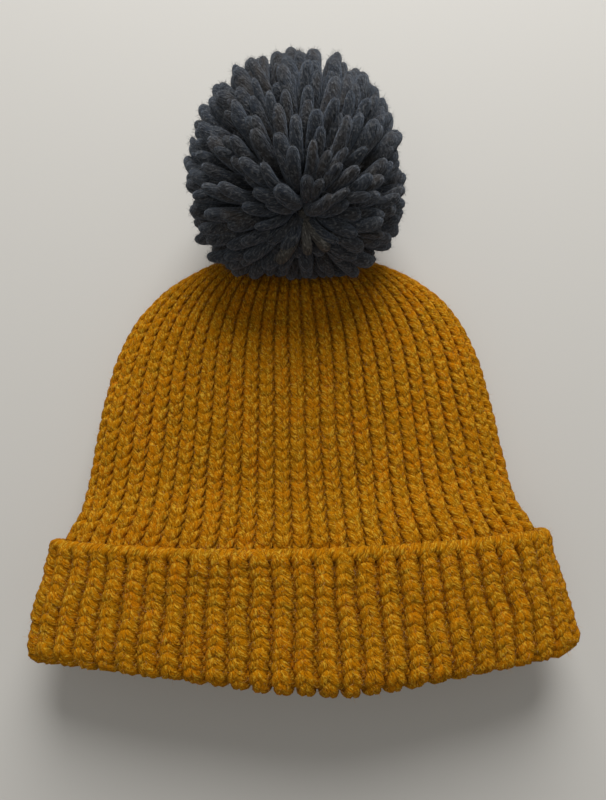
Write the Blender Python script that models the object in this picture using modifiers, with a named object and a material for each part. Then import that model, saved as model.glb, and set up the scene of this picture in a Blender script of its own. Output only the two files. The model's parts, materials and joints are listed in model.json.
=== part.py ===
"""Pom pom beanie: a rib-knit hat with a turned-up cuff and a yarn pom pom, lying on its back.

Units are metres, +Z is up. +Y runs from the hat's mouth to its crown tip, and the pom pom lies
flopped over the tip. The origin is below the middle of the whole object, on the surface that it
lies on. A place along the hat is its station: the distance from the folded mouth edge.
"""
import math

import bmesh
import bpy
from mathutils import Matrix, Vector

# Knitted tube
HAT_LENGTH = 0.212            # folded mouth edge to crown tip
TUBE_HALF_WIDTH = 0.110       # outside, where the cuff covers it
WAIST_STEP = 0.0040           # each side pulls in by this just past the cuff
WAIST_RUN = 0.014             # length over which it pulls in
SIDE_TAPER = 0.162            # half width lost per length, from the cuff to the dome
DOME_LENGTH = 0.0855          # rounded end of the crown
BODY_THICKNESS = 0.038        # the flattened tube, outside, lying down
TIP_THICKNESS = 0.018         # the same at the gathered tip
WALL = 0.006                  # thickness of the knit
CORNER_POWER = 2.5            # 2 is an ellipse, more is boxier
UNDERSIDE_FLATTEN = 1.12      # how far the underside is pressed flat
CORNER_ROUNDING = 0.009       # each side draws in by this at the mouth
CORNER_RUN = 0.020            # length over which it does
MOUTH_ARC = 0.0065            # the mouth's middle stands this far past its ends

# Turned-up cuff
CUFF_HEIGHT = 0.060
CUFF_FLARE = 0.0115           # each side stands out this much more at the mouth
CUFF_SETTLE_RUN = 0.030       # past the cuff, the tube drops to the surface over this length
LAYER_GAP = 0.0005            # between two layers of knit

# Crown hole and its yarns
HOLE_HALF_WIDTH = 0.0055
HOLE_HALF_HEIGHT = 0.0036
HOLE_YARN_RADIUS = 0.0014     # drawstring yarn round the hole
TETHER_RADIUS = 0.0013
KNOT_YARN_RADIUS = 0.0008
KNOT_SCALE = 0.0012           # a trefoil three times this in radius
KNOT_DEPTH = 1.5              # its rise and fall, in the same unit
SEAM_YARN_RADIUS = 0.0009
SEAM_STITCH = 0.008           # length of one seam stitch
SEAM_SWING = 0.0022           # half the width of the seam's zigzag
SEAM_LIFT = 0.0006            # the seam yarn lies this far off the knit
TOUCH_GAP = 0.0004            # between yarns that lie against each other

# Pom pom
POMPOM_RADIUS = 0.0525
POMPOM_REACH = 0.0145         # its middle lies this far past the pivot
POMPOM_CLEARANCE = 0.0010     # above the crown
TIPPING_ROOM = 0.0025         # past the crown tip's underside, as the pom pom tips off it
BINDING_HEIGHT = 0.065        # its bound waist above the surface
WAIST_RADIUS = 0.0062         # strands squeezed by the binding
BINDING_RADIUS = 0.0009
BINDING_TURNS = 4
BINDING_CLEARANCE = 0.0006    # round the yarns inside the pom pom

# Mesh steps
AROUND = 48                   # points round the flattened tube
KNOT_POINTS = 36
POINTS_PER_TURN = 16

# Worked out
DOME_START = HAT_LENGTH - DOME_LENGTH
KNIT_LAYER = WALL + LAYER_GAP
KNOT_RADIUS = 3 * KNOT_SCALE + KNOT_YARN_RADIUS
KNOT_HALF_HEIGHT = KNOT_DEPTH * KNOT_SCALE + KNOT_YARN_RADIUS
RING_STATION = HAT_LENGTH + TOUCH_GAP + HOLE_YARN_RADIUS
PIVOT_STATION = RING_STATION + HOLE_YARN_RADIUS + TOUCH_GAP + KNOT_RADIUS
PIVOT_HEIGHT = TIP_THICKNESS / 2 + 0.1 * (BODY_THICKNESS - TIP_THICKNESS)
POMPOM_STATION = PIVOT_STATION + POMPOM_REACH
MOUTH_Y = -(POMPOM_STATION + POMPOM_RADIUS) / 2
PIVOT = Vector((0.0, MOUTH_Y + PIVOT_STATION, PIVOT_HEIGHT))
BINDING_CENTRE = Vector((0.0, PIVOT.y, BINDING_HEIGHT))
POMPOM_CENTRE = Vector((0.0, MOUTH_Y + POMPOM_STATION, POMPOM_RADIUS))
MUSTARD = (0.42, 0.18, 0.012)
CHARCOAL = (0.035, 0.038, 0.045)


def clear_scene():
    for thing in list(bpy.data.objects):
        bpy.data.objects.remove(thing)


def new_collection(name):
    group = bpy.data.collections.get(name) or bpy.data.collections.new(name)
    if name not in bpy.context.scene.collection.children:
        bpy.context.scene.collection.children.link(group)
    return group


def knit_material(name, colour, roughness):
    material = bpy.data.materials.new(name)
    material.use_nodes = True
    shader = material.node_tree.nodes["Principled BSDF"]
    shader.inputs["Base Color"].default_value = (*colour, 1.0)
    shader.inputs["Roughness"].default_value = roughness
    shader.inputs["Metallic"].default_value = 0.0
    return material


def smooth_step(value):
    value = min(1.0, max(0.0, value))
    return value * value * (3 - 2 * value)


def signed_power(value, power):
    return math.copysign(abs(value) ** power, value)


# ---- The flattened tube's form ----

def dome_share(station):
    """1 along the body, falling to 0 at the crown tip."""
    along = max(0.0, (station - DOME_START) / DOME_LENGTH)
    return math.sqrt(max(0.0, 1 - along ** 3))


def half_width(station):
    past_cuff = max(0.0, station - CUFF_HEIGHT)
    straight = (TUBE_HALF_WIDTH - WAIST_STEP * smooth_step(past_cuff / WAIST_RUN)
                - SIDE_TAPER * past_cuff)
    corner = CORNER_ROUNDING * (1 - smooth_step(station / CORNER_RUN))
    return straight * dome_share(station) - corner


def thickness(station):
    return TIP_THICKNESS + (BODY_THICKNESS - TIP_THICKNESS) * dome_share(station)


def underside(station):
    return KNIT_LAYER * (1 - smooth_step((station - CUFF_HEIGHT) / CUFF_SETTLE_RUN))


def tube_point(station, angle, wider=0.0, thicker=0.0):
    """A point on the tube's outside, or on a skin that is wider and thicker than it."""
    across = signed_power(math.cos(angle), 2 / CORNER_POWER)
    rise = signed_power(math.sin(angle), 2 / CORNER_POWER)
    if rise < 0:
        rise = max(-1.0, rise * UNDERSIDE_FLATTEN)
    middle = underside(station) + thickness(station) / 2
    arc = MOUTH_ARC * (1 - (station / HAT_LENGTH) ** 2) * across * across
    return Vector(((half_width(station) + wider) * across,
                   MOUTH_Y + station + arc,
                   middle + (thickness(station) / 2 + thicker) * rise))


def tube_ring(station, wider=0.0, thicker=0.0):
    return [tube_point(station, 2 * math.pi * step / AROUND, wider, thicker)
            for step in range(AROUND)]


def hole_ring(station, half_wide, half_high):
    return [Vector((half_wide * math.cos(2 * math.pi * step / AROUND),
                    MOUTH_Y + station,
                    PIVOT_HEIGHT + half_high * math.sin(2 * math.pi * step / AROUND)))
            for step in range(AROUND)]


# ---- Mesh and curve helpers ----

def add_mesh_object(name, mesh_builder, material, group):
    mesh = bpy.data.meshes.new(name)
    mesh_builder.to_mesh(mesh)
    mesh_builder.free()
    piece = bpy.data.objects.new(name, mesh)
    if material:
        mesh.materials.append(material)
    group.objects.link(piece)
    mesh.shade_smooth()
    return piece


def loft_closed_rings(name, rings, material, group):
    """Skin a loop of rings, the last one joined back to the first."""
    builder = bmesh.new()
    rows = [[builder.verts.new(point) for point in ring] for ring in rings]
    for row, following in zip(rows, rows[1:] + rows[:1]):
        for step in range(len(row)):
            after = (step + 1) % len(row)
            builder.faces.new((row[step], row[after], following[after], following[step]))
    bmesh.ops.recalc_face_normals(builder, faces=builder.faces)
    return add_mesh_object(name, builder, material, group)


def yarn_tube(name, points, radius, material, group, closed=False):
    curve = bpy.data.curves.new(name, "CURVE")
    curve.dimensions = "3D"
    curve.bevel_depth = radius
    curve.bevel_resolution = 2
    curve.use_fill_caps = not closed
    spline = curve.splines.new("POLY")
    spline.points.add(len(points) - 1)
    for target, point in zip(spline.points, points):
        target.co = (*point, 1.0)
    spline.use_cyclic_u = closed
    curve.materials.append(material)
    piece = bpy.data.objects.new(name, curve)
    group.objects.link(piece)
    return piece


def trefoil(centre, turn=Matrix.Identity(3)):
    """The overhand knot's closed path, flat across its own Z."""
    path = []
    for step in range(KNOT_POINTS):
        t = 2 * math.pi * step / KNOT_POINTS
        loop = Vector((math.sin(t) + 2 * math.sin(2 * t),
                       math.cos(t) - 2 * math.cos(2 * t),
                       -KNOT_DEPTH * math.sin(3 * t))) * KNOT_SCALE
        path.append(centre + turn @ loop)
    return path


def cut(piece, cutter):
    cutter.hide_render = True
    cutter.display_type = "WIRE"
    boolean = piece.modifiers.new(cutter.name, "BOOLEAN")
    boolean.operation = "DIFFERENCE"
    boolean.solver = "EXACT"
    boolean.object = cutter


# ---- Hat ----

def make_crown(material, group):
    """The tube from the turned-up mouth to the gathered hole, as one wall of even thickness."""
    mouth = KNIT_LAYER
    body = [mouth, CORNER_RUN / 2, CORNER_RUN, CUFF_HEIGHT / 2]
    body += [CUFF_HEIGHT + CUFF_SETTLE_RUN * share / 6 for share in range(7)]
    body += [DOME_START + DOME_LENGTH * share
             for share in (0.0, 0.2, 0.4, 0.55, 0.68, 0.79, 0.88, 0.94, 0.985)]
    outside = [tube_ring(station) for station in body]
    outside.append(hole_ring(HAT_LENGTH, HOLE_HALF_WIDTH + WALL / 2, HOLE_HALF_HEIGHT + WALL / 2))
    rim = [hole_ring(HAT_LENGTH, HOLE_HALF_WIDTH, HOLE_HALF_HEIGHT),
           hole_ring(HAT_LENGTH - WALL, HOLE_HALF_WIDTH, HOLE_HALF_HEIGHT)]
    inner_stations = [station for station in body if station < HAT_LENGTH - 1.5 * WALL]
    inside = [tube_ring(station, -WALL, -WALL) for station in reversed(inner_stations)]
    return loft_closed_rings("crown_knit", outside + rim + inside, material, group)


def make_cuff(material, group):
    """The folded-back band: a long outer wall, and a rounded lip under the tube's mouth edge."""
    lip_reach = (KNIT_LAYER + WALL) / 2
    lip_middle = (KNIT_LAYER - WALL) / 2
    profile = [(CUFF_HEIGHT - WALL / 2, LAYER_GAP)]
    profile += [(CUFF_HEIGHT - WALL / 2 + WALL / 2 * math.sin(turn),
                 LAYER_GAP + WALL / 2 - WALL / 2 * math.cos(turn))
                for turn in (math.radians(45), math.radians(90), math.radians(135))]
    profile += [(station, KNIT_LAYER)
                for station in (CUFF_HEIGHT - WALL / 2, CUFF_HEIGHT * 2 / 3, CORNER_RUN,
                                CORNER_RUN / 2)]
    profile += [(WALL - WALL * math.sin(turn), lip_middle + lip_reach * math.cos(turn))
                for turn in (0, math.radians(30), math.radians(60), math.radians(90),
                             math.radians(120), math.radians(150), math.radians(180))]
    profile += [(station, LAYER_GAP)
                for station in (WALL, CORNER_RUN / 2, CORNER_RUN, CUFF_HEIGHT * 2 / 3)]
    rings = []
    for station, outward in profile:
        flare = CUFF_FLARE * (1 - station / CUFF_HEIGHT)
        flared = flare * smooth_step((outward + WALL) / KNIT_LAYER)
        rings.append(tube_ring(station, outward + flared, outward))
    return loft_closed_rings("cuff_knit", rings, material, group)


def make_seam(material, group):
    """The whipped seam inside the tube, along the middle of its underside."""
    first = CUFF_HEIGHT / 4
    last = DOME_START + DOME_LENGTH / 2
    count = int((last - first) / (SEAM_STITCH / 2))
    points = []
    for step in range(count + 1):
        station = first + step * SEAM_STITCH / 2
        floor = tube_point(station, -math.pi / 2, 0.0, -WALL)
        side = SEAM_SWING if step % 2 else -SEAM_SWING
        points.append(floor + Vector((side, 0.0, SEAM_YARN_RADIUS + SEAM_LIFT)))
    return yarn_tube("crown_seam_yarn", points, SEAM_YARN_RADIUS, material, group)


def make_gathering_yarn(material, group):
    """The drawstring yarn that pulls the crown shut, lying round the hole."""
    turns = [2 * math.pi * step / POINTS_PER_TURN for step in range(POINTS_PER_TURN)]
    points = [Vector(((HOLE_HALF_WIDTH + HOLE_YARN_RADIUS) * math.cos(turn),
                      MOUTH_Y + RING_STATION,
                      PIVOT_HEIGHT + (HOLE_HALF_HEIGHT + HOLE_YARN_RADIUS) * math.sin(turn)))
              for turn in turns]
    return yarn_tube("gathering_yarn", points, HOLE_YARN_RADIUS, material, group, closed=True)


def make_anchor(material, group):
    """The knot inside the crown, and the tie that runs from it out through the hole."""
    knot_centre = Vector((0.0, MOUTH_Y + HAT_LENGTH - WALL - 2.5 * KNOT_RADIUS, PIVOT_HEIGHT))
    knot_centre.z += KNOT_RADIUS / 2
    yarn_tube("anchor_knot", trefoil(knot_centre), KNOT_YARN_RADIUS, material, group, closed=True)
    start = knot_centre + Vector((0.0, KNOT_RADIUS + TOUCH_GAP, 0.0))
    end = PIVOT - Vector((0.0, KNOT_RADIUS + TOUCH_GAP, 0.0))
    return yarn_tube("tether_inner_run", [start, start.lerp(end, 0.5), end],
                     TETHER_RADIUS, material, group)


# ---- Pom pom ----

def make_tether(material, group):
    base = yarn_tube("tether_base_knot", trefoil(PIVOT), KNOT_YARN_RADIUS, material, group,
                     closed=True)
    knot_reach = WAIST_RADIUS + 2 * BINDING_RADIUS + BINDING_CLEARANCE
    knot_centre = BINDING_CENTRE - Vector((0.0, 0.0, knot_reach + TOUCH_GAP + KNOT_HALF_HEIGHT))
    yarn_tube("binding_knot", trefoil(knot_centre), KNOT_YARN_RADIUS, material, group, closed=True)
    bottom = PIVOT + Vector((0.0, 0.0, KNOT_RADIUS + TOUCH_GAP))
    top = knot_centre - Vector((0.0, 0.0, KNOT_HALF_HEIGHT + TOUCH_GAP))
    yarn_tube("pompom_tether", [bottom.lerp(top, share / 4) for share in range(5)],
              TETHER_RADIUS, material, group)
    return base


def make_binding(material, group):
    """Tight turns of yarn round the waist of the strand bundle, which runs along X."""
    pitch = 2 * BINDING_RADIUS + TOUCH_GAP
    coil_radius = WAIST_RADIUS + BINDING_CLEARANCE + BINDING_RADIUS
    points = []
    for step in range(BINDING_TURNS * POINTS_PER_TURN + 1):
        turns = step / POINTS_PER_TURN
        turn = 2 * math.pi * turns
        points.append(BINDING_CENTRE + Vector(((turns - BINDING_TURNS / 2) * pitch,
                                               coil_radius * math.cos(turn),
                                               coil_radius * math.sin(turn))))
    return yarn_tube("pompom_binding", points, BINDING_RADIUS, material, group)


def make_groove_cutter(cutters):
    """A turned ring, round the waist and a clearance larger than the binding."""
    half_length = ((BINDING_TURNS + 1) * (2 * BINDING_RADIUS + TOUCH_GAP)) / 2 + BINDING_CLEARANCE
    outer = WAIST_RADIUS + 2 * BINDING_RADIUS + 2 * BINDING_CLEARANCE
    builder = bmesh.new()
    corners = [(outer, half_length), (outer, -half_length),
               (WAIST_RADIUS, -half_length), (WAIST_RADIUS, half_length)]
    loop = [builder.verts.new((radius, 0.0, height)) for radius, height in corners]
    for first, second in zip(loop, loop[1:] + loop[:1]):
        builder.edges.new((first, second))
    groove = add_mesh_object("groove_cutter", builder, None, cutters)
    turning = groove.modifiers.new("turned", "SCREW")
    turning.axis = "Z"
    turning.steps = turning.render_steps = 24
    turning.use_merge_vertices = True
    turning.merge_threshold = 0.00001
    groove.matrix_world = (Matrix.Translation(BINDING_CENTRE)
                           @ Matrix.Rotation(math.pi / 2, 4, "Y"))
    return groove


def make_channel_cutter(ceiling, cutters):
    """The way of the tether and its knot, from the groove down to the crown's hollow."""
    top = BINDING_HEIGHT - WAIST_RADIUS - BINDING_RADIUS
    bottom = ceiling - WALL
    builder = bmesh.new()
    bmesh.ops.create_cone(builder, cap_ends=True, segments=20, radius1=KNOT_RADIUS + 2 * TOUCH_GAP,
                          radius2=KNOT_RADIUS + 2 * TOUCH_GAP, depth=top - bottom,
                          matrix=Matrix.Translation((PIVOT.x, PIVOT.y, (top + bottom) / 2)))
    return add_mesh_object("channel_cutter", builder, None, cutters)


def make_crown_hollow_cutter(ceiling, cutters):
    """Room for the crown tip under the pom pom, at rest and as the pom pom tips off it."""
    front = PIVOT.y + PIVOT_HEIGHT + TIPPING_ROOM
    near = POMPOM_CENTRE.y - 1.5 * POMPOM_RADIUS
    half_span = 1.5 * POMPOM_RADIUS
    low = -POMPOM_RADIUS
    builder = bmesh.new()
    place = Matrix.Translation((0.0, (front + near) / 2, (ceiling + low) / 2))
    size = Matrix.Diagonal((2 * half_span, front - near, ceiling - low, 1.0))
    bmesh.ops.create_cube(builder, size=1.0, matrix=place @ size)
    return add_mesh_object("hollow_cutter", builder, None, cutters)


def make_pompom(material, group, cutters):
    """The ball that the cut strands fill, with a hollow for the crown tip and its tie."""
    builder = bmesh.new()
    bmesh.ops.create_uvsphere(builder, u_segments=40, v_segments=24, radius=POMPOM_RADIUS,
                              matrix=Matrix.Translation(POMPOM_CENTRE))
    ball = add_mesh_object("pompom_yarn", builder, material, group)
    near_station = PIVOT_STATION - (POMPOM_RADIUS - POMPOM_REACH)
    ceiling = underside(near_station) + thickness(near_station) + POMPOM_CLEARANCE
    cut(ball, make_crown_hollow_cutter(ceiling, cutters))
    cut(ball, make_channel_cutter(ceiling, cutters))
    cut(ball, make_groove_cutter(cutters))
    return ball


def main():
    clear_scene()
    group = new_collection("pom_pom_beanie")
    cutters = new_collection("cutters")
    make_crown(knit_material("crown_wool", MUSTARD, 0.95), group)
    make_cuff(knit_material("cuff_wool", MUSTARD, 0.95), group)
    make_seam(knit_material("seam_wool", MUSTARD, 0.95), group)
    make_gathering_yarn(knit_material("gathering_wool", MUSTARD, 0.95), group)
    make_anchor(knit_material("anchor_wool", CHARCOAL, 0.95), group)
    make_tether(knit_material("tether_wool", CHARCOAL, 0.95), group)
    make_binding(knit_material("binding_wool", CHARCOAL, 0.95), group)
    make_pompom(knit_material("pompom_wool", CHARCOAL, 0.95), group, cutters)


main()
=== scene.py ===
"""The looks of a pom pom beanie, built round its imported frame.

The hat is knitted stitch by stitch: each row is one yarn that loops through 54 ribs, laid on the
flattened tube that the frame holds. The pom pom is a bundle of cut strands. Lengths are in metres.
A "station" is the distance from the folded mouth edge, towards the pom pom.
"""

import math
import bpy
import numpy as np
from mathutils import Matrix, Vector
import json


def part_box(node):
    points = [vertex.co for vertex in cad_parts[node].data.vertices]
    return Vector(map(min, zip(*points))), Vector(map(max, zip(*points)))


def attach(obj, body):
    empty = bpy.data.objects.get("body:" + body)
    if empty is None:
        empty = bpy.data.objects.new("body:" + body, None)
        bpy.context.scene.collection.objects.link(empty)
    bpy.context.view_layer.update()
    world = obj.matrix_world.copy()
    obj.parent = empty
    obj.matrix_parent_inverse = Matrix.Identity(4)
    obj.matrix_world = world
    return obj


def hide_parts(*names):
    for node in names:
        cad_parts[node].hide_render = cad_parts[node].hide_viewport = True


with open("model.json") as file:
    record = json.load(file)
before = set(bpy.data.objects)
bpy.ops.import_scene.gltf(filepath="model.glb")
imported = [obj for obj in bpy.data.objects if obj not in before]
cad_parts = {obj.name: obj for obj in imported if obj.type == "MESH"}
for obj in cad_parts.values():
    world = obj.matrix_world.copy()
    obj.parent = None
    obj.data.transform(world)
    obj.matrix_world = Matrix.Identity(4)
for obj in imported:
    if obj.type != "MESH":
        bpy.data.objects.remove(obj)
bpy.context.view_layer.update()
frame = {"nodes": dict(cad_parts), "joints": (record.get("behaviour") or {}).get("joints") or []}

# ---- Sizes, as in the frame's own model; only the cuff's flare and corners differ, by a little ----
HAT_LENGTH = 0.212
TUBE_HALF_WIDTH = 0.110
WAIST_STEP = 0.0040
WAIST_RUN = 0.014
SIDE_TAPER = 0.162
DOME_LENGTH = 0.0855
BODY_THICKNESS = 0.038
TIP_THICKNESS = 0.018
WALL = 0.006
CORNER_POWER = 2.5
UNDERSIDE_FLATTEN = 1.12
MOUTH_ARC = 0.0065
CUFF_HEIGHT = 0.060
CUFF_FLARE = 0.0108
CORNER_ROUNDING = 0.0015
CORNER_RUN = 0.020
CUFF_SETTLE_RUN = 0.030
CORNER_LIFT = 0.0160            # the mouth's corners curl back, steeply at first
CORNER_EASE = 0.0097            # and by this much less at their very ends
MOUTH_TILT = 0.0048             # the left half curls back more than the right
LIFT_RUN = 0.048                # the curl fades out over this length
LAYER_GAP = 0.0005
TOUCH_GAP = 0.0004              # between yarns that lie against each other
KNIT_LAYER = WALL + LAYER_GAP
DOME_START = HAT_LENGTH - DOME_LENGTH
HOLE_HALF_WIDTH = 0.0055
HOLE_HALF_HEIGHT = 0.0036

# ---- Places read from the frame ----
PIVOT = Vector(next(joint["pos_m"] for joint in frame["joints"] if joint["name"] == "pompom_flop"))
gathering_low, gathering_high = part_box("gathering_yarn")
TIP_Y = gathering_low.y - TOUCH_GAP
MOUTH_Y = TIP_Y - HAT_LENGTH
ball_low, ball_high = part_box("pompom_yarn")
BALL_RADIUS = (ball_high.x - ball_low.x) / 2
BALL_CENTRE = Vector(((ball_low.x + ball_high.x) / 2, ball_high.y - BALL_RADIUS, BALL_RADIUS))
STRAND_SHIFT = Vector((0.0020, 0.0038, 0.0))      # the strands' middle, off the ball's
STRAND_CENTRE = BALL_CENTRE + STRAND_SHIFT

# ---- Knitting ----
RIBS = 54
TUBE_ROWS = 42
CUFF_ROWS = 14
YARN_RADIUS = 0.00215
RIB_DEPTH = 0.0017              # how far a leg stands in front of the fabric's middle
FULL_PITCH = 0.0085             # rib spacing at which the yarn has its full thickness
THINNEST_YARN = 0.5             # share of its thickness left where the ribs are gathered
THICKEST_YARN = 1.06            # and where they are spread widest
YARN_SIDES = 8
YARN_TWIST = 2 * math.pi / 0.012
KNIT_RINGS = 20                 # rings of the yarn's mesh along a loop on the face
PURL_RINGS = 10                 # and along one behind it
ROWS_PER_PIECE = 7
TUBE_FIRST_STATION = 0.0105
CAST_ON_ROW = 0.15
CAST_ON_TWIST = 0.0012          # each cast-on strand's distance from their common middle
CAST_ON_RADIUS = 0.0021
CAST_ON_LIFT = 0.0010
CAST_ON_STEPS = 16              # rings of its mesh to a rib
CAST_ON_TURN_JITTER = 0.5       # radians
FACE_DISTANCE = KNIT_LAYER - WALL / 2 - 0.001   # the cuff's middle surface, out from the skin
INNER_DISTANCE = -WALL / 2                # the tube wall's own middle surface
LIP_RADIUS = (FACE_DISTANCE - INNER_DISTANCE) / 2
LIP_STATION = LIP_RADIUS + 0.0040

# A half loop: across in ribs, along in rows, and depth in front of the fabric's middle.
HALF_LOOP = ((-0.25, -0.58, 0.0), (-0.19, -0.54, 0.35), (-0.10, -0.28, 1.0), (-0.155, 0.12, 1.15),
             (-0.225, 0.50, 0.95), (-0.240, 0.82, 0.3), (-0.15, 1.08, -0.45), (0.0, 1.16, -0.65))
CROSSING_DEPTH = -0.55          # the valleys' floor lies this much behind the fabric's middle
LOOP_STEPS = 8                  # curve steps between two points of a half loop

# How uneven the knitting is
RIB_SWAY = 0.05                 # sideways, in ribs
ROW_SWAY = 0.06                 # along the hat, in rows
FABRIC_LIFT = 0.0007            # in and out, in metres
YARN_SWELL = 0.06               # share of the yarn's thickness
LOOP_LOOSENESS = 0.10           # share of a loop's depth

# Grids that the fabrics are read from
GRID_COLUMNS = 432
FINE_ANGLES = 1440
TUBE_LINES = 260
CUFF_LINES = 200
BODY_STEPS = 110
DOME_STEPS = 90
DOME_CROWDING = 0.8             # below 1 puts more of the dome's steps near the tip
DOME_SHARE_USED = 0.985
BAND_STEPS = 60
LIP_STEPS = 40

FLOOR_GAP = 0.00005             # the yarn's lowest points stay this far off the surface

# ---- Stray fibres ----
CROWN_HAIRS = 60000
CUFF_HAIRS = 32000
POMPOM_HAIRS = 38000
HAIRS_PER_PIECE = 10000
SHORTEST_HAIR = 0.0012
LONGEST_KNIT_HAIR = 0.0036
LONGEST_POMPOM_HAIR = 0.0026
HAIR_RADIUS = 0.00006
HAIR_SPREAD = 1.1               # how far hairs lean off the yarn's normal
HAIR_CURL = 0.6                 # most bend, as a share of the length
HAIR_ROOT_DEPTH = 0.0004
HAIR_RINGS = (0.0, 0.4, 0.75)   # places of a hair's three-sided rings along it

# ---- Pom pom ----
DIMPLE_AXIS = Vector((0.066, -0.831, 0.551)).normalized()
STRANDS = 470
STRANDS_PER_PIECE = 160
STRAND_RADIUS = 0.0029
STRAND_SIDES = 10
STRAND_TWIST = 2 * math.pi / 0.05
# Places along a strand, and its share of the full thickness there, at the blunt cut tip
SHAFT_RINGS = 13
SHAFT_END = 0.92
CUT_TIP = ((0.950, 0.97), (0.973, 0.88), (0.989, 0.70), (1.0, 0.38))
SHOULDER_FULLNESS = 0.17        # how much fuller the ball is at its lower left and right
DIMPLE_OPENING = math.radians(17)    # no strand starts this close to the dimple's axis
DIRECTION_JITTER = 0.035
HEADING_JITTER = 0.13
LEAN_JITTER = 0.13
USUAL_REACH = 0.955             # of the ball's radius, at a strand's tip
REACH_JITTER = 0.022
# By angle from the dimple's axis: a tip's lean along the ball in degrees, and its last handle
LEAN_ANGLES, TIP_LEANS = (15, 50, 90, 130, 180), (76, 72, 63, 38, 0)
HANDLE_ANGLES, TIP_HANDLES = (15, 60, 120, 180), (0.020, 0.032, 0.030, 0.018)
ROOT_OFFSET = 0.006
ROOT_HANDLE = 0.012
THICKNESS_JITTER = 0.13
THINNEST_STRAND, THICKEST_STRAND = 0.7, 1.35
WAIST_SQUEEZE = 0.45            # share of its thickness that a strand keeps in the binding
SQUEEZE_RUN = 0.55              # share of its length over which it fills out
STRAND_SWELL = 0.06
SWELL_WAVES = 9                 # radians of swelling along a strand
CROWN_CLEARANCE = 0.0010
TIP_SWING_RADIUS = 0.013        # the crown tip's room as the pom pom flops
TIP_SWING_HALF_WIDTH = 0.045
TAIL_THICKNESS = 0.85
HAIRY_SHELL = 0.78              # hairs grow outside this share of the ball's radius
TIE_TAILS = (Vector((0.08, -0.93, 0.30)), Vector((0.24, -0.90, 0.32)), Vector((-0.16, -0.95, 0.20)))


# ---------------------------------------------------------------- form of the flattened tube

def smooth_step(value):
    value = np.clip(value, 0.0, 1.0)
    return value * value * (3 - 2 * value)


def signed_power(value, power):
    return np.sign(value) * np.abs(value) ** power


def dome_share(station):
    along = np.maximum(0.0, (station - DOME_START) / DOME_LENGTH)
    return np.sqrt(np.maximum(0.0, 1 - along ** 3))


def half_width(station):
    past_cuff = np.maximum(0.0, station - CUFF_HEIGHT)
    straight = (TUBE_HALF_WIDTH - WAIST_STEP * smooth_step(past_cuff / WAIST_RUN)
                - SIDE_TAPER * past_cuff)
    corner = CORNER_ROUNDING * (1 - smooth_step(station / CORNER_RUN))
    return straight * dome_share(station) - corner


def thickness(station):
    return TIP_THICKNESS + (BODY_THICKNESS - TIP_THICKNESS) * dome_share(station)


def underside(station):
    return KNIT_LAYER * (1 - smooth_step((station - CUFF_HEIGHT) / CUFF_SETTLE_RUN))


def tube_points(station, angle, wider, thicker):
    """Points on a skin of the tube, as an array with the coordinates last."""
    across = signed_power(np.cos(angle), 2 / CORNER_POWER)
    rise = signed_power(np.sin(angle), 2 / CORNER_POWER)
    rise = np.where(rise < 0, np.maximum(-1.0, rise * UNDERSIDE_FLATTEN), rise)
    middle = underside(station) + thickness(station) / 2
    arc = MOUTH_ARC * (1 - (station / HAT_LENGTH) ** 2) * across * across
    curl = (CORNER_LIFT * across ** 2 - CORNER_EASE * across ** 4
            - MOUTH_TILT * across * (1 - across ** 2))
    curl = curl * (1 - smooth_step(station / LIFT_RUN))
    return np.stack([(half_width(station) + wider) * across,
                     MOUTH_Y + station + arc + curl,
                     middle + (thickness(station) / 2 + thicker) * rise], axis=-1)


def evenly_round(ring, count):
    """The same closed ring with its points evenly spaced along it."""
    closed = np.vstack([ring, ring[:1]])
    steps = np.linalg.norm(np.diff(closed, axis=0), axis=1)
    along = np.concatenate([[0.0], np.cumsum(steps)])
    wanted = np.linspace(0.0, along[-1], count, endpoint=False)
    return np.stack([np.interp(wanted, along, closed[:, axis]) for axis in range(3)], axis=1)


def evenly_along(grid, count):
    """The same grid with each column's points evenly spaced from its first to its last row."""
    steps = np.linalg.norm(np.diff(grid, axis=0), axis=2)
    along = np.concatenate([np.zeros((1, grid.shape[1])), np.cumsum(steps, axis=0)])
    shares = np.linspace(0.0, 1.0, count)
    columns = []
    for column in range(grid.shape[1]):
        wanted = shares * along[-1, column]
        columns.append(np.stack([np.interp(wanted, along[:, column], grid[:, column, axis])
                                 for axis in range(3)], axis=1))
    return np.stack(columns, axis=1)


class Fabric:
    """A tube of fabric that is read at a row and a rib, both as real numbers."""

    def __init__(self, grid, rows):
        self.grid = grid
        self.rows = rows
        down_rows = np.gradient(grid, axis=0)
        wrapped = np.concatenate([grid[:, -1:], grid, grid[:, :1]], axis=1)
        round_ribs = (wrapped[:, 2:] - wrapped[:, :-2]) / 2
        normal = np.cross(down_rows, round_ribs)
        length = np.linalg.norm(normal, axis=2, keepdims=True)
        self.normal = normal / np.maximum(length, 1e-12)
        self.pitch = np.linalg.norm(round_ribs, axis=2) * grid.shape[1] / RIBS

    def read(self, values, row, rib):
        tall, wide = self.grid.shape[:2]
        line = np.clip(row / self.rows, 0.0, 1.0) * (tall - 1)
        column = np.mod(rib / RIBS, 1.0) * wide
        first_line = np.minimum(line.astype(int), tall - 2)
        first_column = np.minimum(column.astype(int), wide - 1)
        next_column = (first_column + 1) % wide
        a = line - first_line
        b = column - first_column
        if values.ndim == 3:
            a, b = a[..., None], b[..., None]
        near = values[first_line, first_column] * (1 - b) + values[first_line, next_column] * b
        far = (values[first_line + 1, first_column] * (1 - b)
               + values[first_line + 1, next_column] * b)
        return near * (1 - a) + far * a


def underside_first(count):
    """Angles round the section that start at the middle of the underside."""
    return -math.pi / 2 + 2 * math.pi * np.arange(count) / count


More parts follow.
